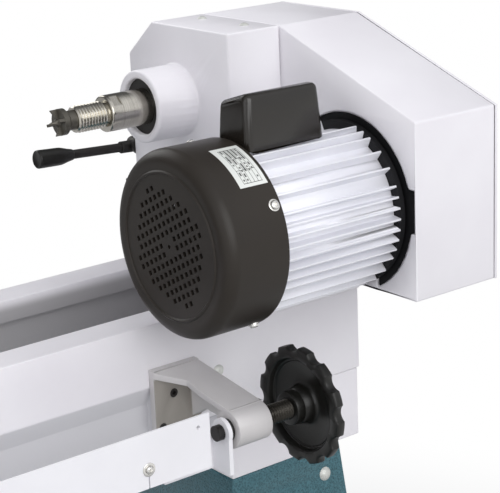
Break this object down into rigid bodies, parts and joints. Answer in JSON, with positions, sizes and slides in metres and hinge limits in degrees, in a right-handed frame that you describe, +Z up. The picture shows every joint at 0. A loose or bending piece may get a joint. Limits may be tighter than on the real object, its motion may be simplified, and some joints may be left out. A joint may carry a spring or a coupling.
{
  "type": "duplicating lathe",
  "caption": "Woodturning lathe on a sheet stand with belt drive, fan-cooled motor, tailstock, copying carriage and hinged template rail clamped by star knobs.",
  "frame": {"origin": "middle of the bounding box on the floor", "axes": "+X along the bed from headstock to tailstock, +Y to the template rail's side, +Z up"},
  "size_m": [1.5468, 0.5156, 1.15],
  "materials": {
    "white_paint": "smooth semi-gloss enamel over a fine cast texture",
    "rail_paint": "semi-gloss enamel on folded sheet",
    "bare_steel": "turned and ground",
    "plated_screws": "bright plated",
    "black_steel": "oxide black, slightly worn",
    "belt_rubber": "matte",
    "cast_aluminium": "satin as cast",
    "machined_iron": "milled and scraped",
    "winding": "varnished",
    "cowl_black": "satin black on drawn sheet",
    "gloss_black": "glossy moulded",
    "switch_grey": "matte moulded",
    "green_button": "smooth",
    "red_button": "smooth",
    "teal_hammer": "hammer-finish enamel",
    "bright_bolts": "bright zinc",
    "foot_rubber": "matte"
  },
  "bodies": {
    "frame": {"front_rail": "white_paint", "rear_rail": "white_paint", "bed_ties": "white_paint", "head_base_block": "white_paint", "tail_base_block": "white_paint", "headstock_housing": "white_paint", "spindle_bearings": "bare_steel", "bearing_cap": "black_steel", "belt_cover": "white_paint", "cover_screws": "plated_screws", "drive_belt": "belt_rubber", "motor_housing": "cast_aluminium", "motor_flange": "black_steel", "motor_stator": "winding", "motor_bearings": "bare_steel", "fan_cowl": "cowl_black", "cowl_screws": "plated_screws", "capacitor_box": "gloss_black", "switch_box": "switch_grey", "head_bracket": "cast_aluminium", "tail_bracket": "cast_aluminium", "bracket_screws": "black_steel", "rail_pivots": "black_steel", "head_leg": "teal_hammer", "tail_leg": "teal_hammer", "stand_shelf": "teal_hammer", "stand_bolts": "bright_bolts", "levelling_feet": "foot_rubber"},
    "spindle": {"spindle": "bare_steel", "spindle_pulley": "cast_aluminium", "drive_centre": "black_steel"},
    "motor_shaft": {"motor_rotor": "bare_steel", "motor_pulley": "cast_aluminium", "motor_fan": "black_steel"},
    "belt_door": {"belt_door": "white_paint"},
    "tension_lever": {"tension_lever": "black_steel", "tension_lever_grip": "gloss_black"},
    "start_button": {"start_button": "green_button"},
    "stop_button": {"stop_button": "red_button"},
    "template_rail": {"template_rail": "rail_paint", "template_screws": "plated_screws"},
    "head_star": {"head_star_knob": "gloss_black", "head_knob_stud": "black_steel"},
    "tail_star": {"tail_star_knob": "gloss_black", "tail_knob_stud": "black_steel"},
    "carriage": {"carriage_saddle": "machined_iron", "carriage_clamp": "bare_steel"},
    "cross_slide": {"cross_slide": "machined_iron", "tool_post": "machined_iron", "cutter": "bare_steel", "follower_arm": "bare_steel", "carriage_handle": "gloss_black"},
    "tailstock": {"tailstock_body": "white_paint", "tailstock_clamp": "bare_steel"},
    "tailstock_lever": {"tailstock_lever": "black_steel"},
    "quill": {"tailstock_quill": "bare_steel"},
    "live_centre": {"live_centre": "bare_steel"},
    "handwheel": {"tail_handwheel": "machined_iron"},
    "handwheel_grip": {"handwheel_grip": "gloss_black"},
    "quill_lock": {"quill_lock": "black_steel"}
  },
  "joints": [
    {"name": "spindle_spin", "type": "hinge", "parent": "frame", "child": "spindle", "pos_m": [-0.60165, 0, 1.071], "axis": [1, 0, 0], "continuous": true},
    {"name": "motor_spin", "type": "hinge", "parent": "frame", "child": "motor_shaft", "pos_m": [-0.60165, 0.1709, 0.9915], "axis": [1, 0, 0], "continuous": true},
    {"name": "door_hinge", "type": "hinge", "parent": "frame", "child": "belt_door", "pos_m": [-0.75985, -0.0818, 1.011], "axis": [0, 0, 1], "range_deg": [0, 100]},
    {"name": "tension_lever_turn", "type": "hinge", "parent": "frame", "child": "tension_lever", "pos_m": [-0.60965, -0.0778, 1.014], "axis": [0, 1, 0], "range_deg": [-90, 0]},
    {"name": "start_press", "type": "slide", "parent": "frame", "child": "start_button", "axis": [0, 1, 0], "range_m": [0, 0.003], "stiffness_N_per_m": 300},
    {"name": "stop_press", "type": "slide", "parent": "frame", "child": "stop_button", "axis": [0, 1, 0], "range_m": [0, 0.003], "stiffness_N_per_m": 300},
    {"name": "template_rail_tilt", "type": "hinge", "parent": "frame", "child": "template_rail", "pos_m": [0.01135, 0.19, 0.823], "axis": [1, 0, 0], "range_deg": [-60, 15]},
    {"name": "head_star_turn", "type": "hinge", "parent": "frame", "child": "head_star", "pos_m": [-0.58565, 0.19, 0.823], "axis": [1, 0, 0], "continuous": true},
    {"name": "tail_star_turn", "type": "hinge", "parent": "frame", "child": "tail_star", "pos_m": [0.60835, 0.19, 0.823], "axis": [1, 0, 0], "continuous": true},
    {"name": "carriage_slide", "type": "slide", "parent": "frame", "child": "carriage", "axis": [1, 0, 0], "range_m": [-0.4, 0.2]},
    {"name": "cross_slide_feed", "type": "slide", "parent": "carriage", "child": "cross_slide", "axis": [0, 1, 0], "range_m": [-0.04, 0.055]},
    {"name": "tailstock_slide", "type": "slide", "parent": "frame", "child": "tailstock", "axis": [1, 0, 0], "range_m": [-0.1, 0.1]},
    {"name": "tailstock_lever_turn", "type": "hinge", "parent": "tailstock", "child": "tailstock_lever", "pos_m": [0.58935, -0.071, 0.953], "axis": [0, 1, 0], "range_deg": [-60, 30]},
    {"name": "handwheel_turn", "type": "hinge", "parent": "tailstock", "child": "handwheel", "pos_m": [0.63835, 0, 1.071], "axis": [1, 0, 0], "range_deg": [-4500, 180]},
    {"name": "quill_feed", "type": "slide", "parent": "tailstock", "child": "quill", "axis": [1, 0, 0], "range_m": [-0.0501, 0.0021]},
    {"name": "live_centre_spin", "type": "hinge", "parent": "quill", "child": "live_centre", "pos_m": [0.42835, 0, 1.071], "axis": [1, 0, 0], "continuous": true},
    {"name": "handwheel_grip_spin", "type": "hinge", "parent": "handwheel", "child": "handwheel_grip", "pos_m": [0.66835, 0, 1.121], "axis": [1, 0, 0], "continuous": true},
    {"name": "quill_lock_turn", "type": "hinge", "parent": "tailstock", "child": "quill_lock", "pos_m": [0.52835, 0, 1.117], "axis": [0, 0, 1], "range_deg": [-30, 90]}
  ],
  "couplings": [
    {"joint": "motor_spin", "follows": "spindle_spin", "ratio": 1.25},
    {"joint": "quill_feed", "follows": "handwheel_turn", "m_per_rad": 0.00063662}
  ]
}
